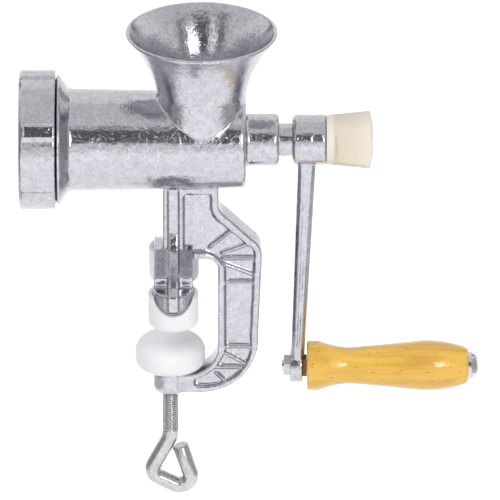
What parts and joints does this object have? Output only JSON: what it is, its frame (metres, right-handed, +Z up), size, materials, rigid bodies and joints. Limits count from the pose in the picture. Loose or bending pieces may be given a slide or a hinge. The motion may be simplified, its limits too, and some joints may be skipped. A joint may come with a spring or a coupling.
{
  "type": "hand crank meat grinder",
  "caption": "Cast hand-crank meat grinder with a round hopper, lugged ring nut, wooden crank grip and a screw clamp that holds it on a table edge.",
  "frame": {"origin": "where the clamp screw's axis meets the plane under the two boots, which is the table top", "axes": "+X along the barrel from the outlet to the crank, +Z up"},
  "size_m": [0.2296, 0.081, 0.2532],
  "materials": {
    "cast_aluminium": "tumbled and polished die casting",
    "zinc_steel": "zinc plated",
    "tool_steel": "ground tool steel",
    "bright_steel": "bright plated",
    "white_plastic": "soft white moulded plastic",
    "cream_plastic": "cream moulded plastic",
    "varnished_wood": "yellow varnish",
    "brown_washer": "brown fibre washer"
  },
  "bodies": {
    "housing": {"body_casting": "cast_aluminium", "front_boot": "white_plastic", "rear_boot": "white_plastic", "shaft_bush": "tool_steel", "plate_pin": "zinc_steel", "thrust_washer": "tool_steel"},
    "crank_set": {"auger": "cast_aluminium", "auger_stud": "zinc_steel", "knife": "tool_steel", "crank_arm": "cast_aluminium", "handle_bolt": "bright_steel", "handle_nut": "zinc_steel", "grip_washer": "brown_washer"},
    "grip": {"grip": "varnished_wood"},
    "plate": {"hole_plate": "tool_steel"},
    "ring_nut": {"ring_nut": "cast_aluminium"},
    "clamp_pad": {"clamp_pad": "white_plastic", "clamp_swivel": "zinc_steel"},
    "clamp_screw": {"clamp_screw": "zinc_steel"},
    "knob_washer": {"knob_washer": "zinc_steel"},
    "thumb_knob": {"thumb_knob": "cream_plastic", "knob_stud": "zinc_steel"}
  },
  "joints": [
    {"name": "crank_turn", "type": "hinge", "parent": "housing", "child": "crank_set", "pos_m": [0, 0, 0.088], "axis": [1, 0, 0], "continuous": true},
    {"name": "grip_spin", "type": "hinge", "parent": "crank_set", "child": "grip", "pos_m": [0.1, 0, -0.036], "axis": [1, 0, 0], "continuous": true},
    {"name": "plate_slide", "type": "slide", "parent": "housing", "child": "plate", "axis": [-1, 0, 0], "range_m": [0, 0.015]},
    {"name": "nut_turn", "type": "hinge", "parent": "plate", "child": "ring_nut", "pos_m": [-0.07, 0, 0.088], "axis": [-1, 0, 0], "range_deg": [0, 1801]},
    {"name": "clamp_slide", "type": "slide", "parent": "housing", "child": "clamp_pad", "axis": [0, 0, 1], "range_m": [0, 0.0185]},
    {"name": "clamp_turn", "type": "hinge", "parent": "clamp_pad", "child": "clamp_screw", "pos_m": [0, 0, -0.05], "axis": [0, 0, 1], "range_deg": [0, 5329]},
    {"name": "knob_slide", "type": "slide", "parent": "crank_set", "child": "knob_washer", "axis": [1, 0, 0], "range_m": [0, 0.01]},
    {"name": "knob_turn", "type": "hinge", "parent": "knob_washer", "child": "thumb_knob", "pos_m": [0.09, 0, 0.088], "axis": [1, 0, 0], "range_deg": [0, 2881]}
  ],
  "couplings": [
    {"joint": "nut_turn", "follows": "plate_slide", "rad_per_m": 2094.4},
    {"joint": "clamp_turn", "follows": "clamp_slide", "rad_per_m": 5026.5},
    {"joint": "knob_turn", "follows": "knob_slide", "rad_per_m": 5026.5}
  ]
}
